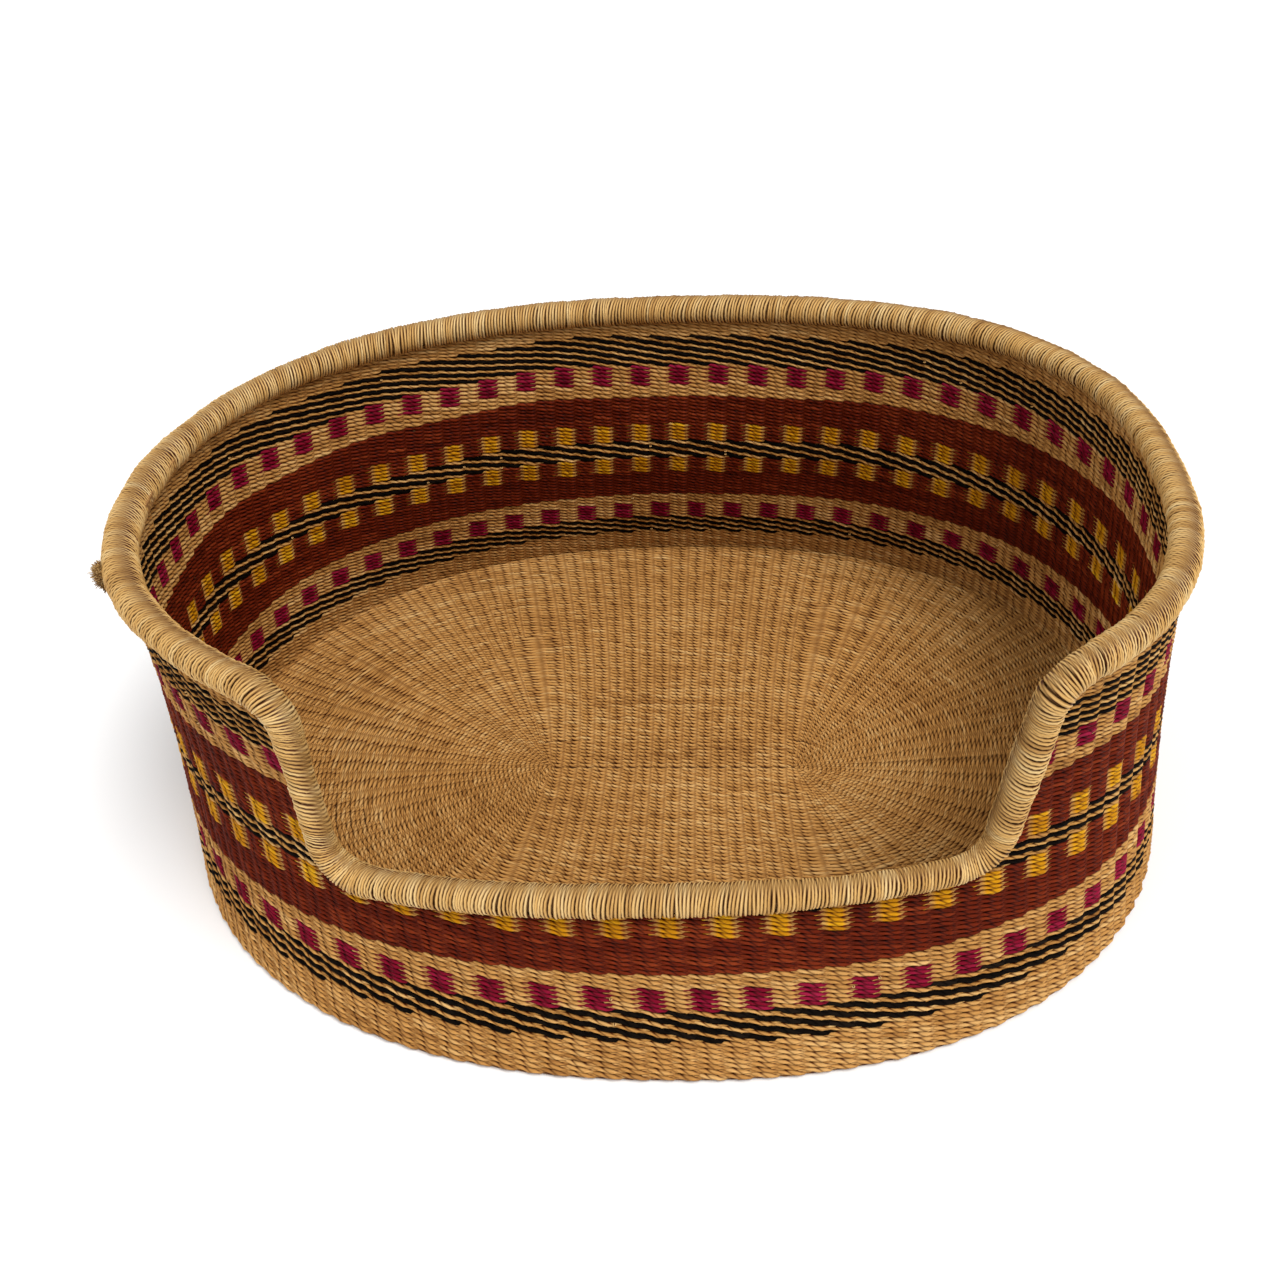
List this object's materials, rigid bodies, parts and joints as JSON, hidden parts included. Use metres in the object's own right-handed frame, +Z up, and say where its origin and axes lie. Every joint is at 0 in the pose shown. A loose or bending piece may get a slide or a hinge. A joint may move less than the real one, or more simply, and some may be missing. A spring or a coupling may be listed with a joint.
{
  "type": "dog basket",
  "caption": "Oval woven grass dog basket with a flat floor, a tall wall in coloured bands, a low front doorway and a thick wrapped rim.",
  "frame": {"origin": "centre of the oval floor, on the underside that rests on the ground", "axes": "+X along the length, to the right as seen from the doorway; +Y from the doorway to the back; +Z up"},
  "size_m": [0.7655, 0.6124, 0.3035],
  "materials": {
    "natural_grass": "matte woven grass, straw coloured",
    "black_and_natural_grass": "matte woven grass, black dyed and straw strands",
    "magenta_and_natural_grass": "matte woven grass, magenta dyed and straw strands",
    "rust_and_yellow_grass": "matte woven grass, rust and yellow dyed strands",
    "floor_grass": "matte woven grass, straw coloured",
    "stake_grass": "matte bundled grass",
    "core_grass": "matte bundled grass",
    "binding_grass": "satin wound grass"
  },
  "bodies": {
    "root": {"foot_plain_band": "natural_grass", "lower_stripe_band": "black_and_natural_grass", "lower_check_band": "magenta_and_natural_grass", "lower_rust_band": "rust_and_yellow_grass", "middle_stripe_band": "black_and_natural_grass", "upper_rust_band": "rust_and_yellow_grass", "upper_check_band": "magenta_and_natural_grass", "upper_stripe_band": "black_and_natural_grass", "top_plain_band": "natural_grass", "floor_weave": "floor_grass", "cross_stakes": "stake_grass", "left_fan_stakes": "stake_grass", "right_fan_stakes": "stake_grass", "rim_core": "core_grass", "rim_binding": "binding_grass", "binding_tuft": "binding_grass"}
  },
  "joints": []
}
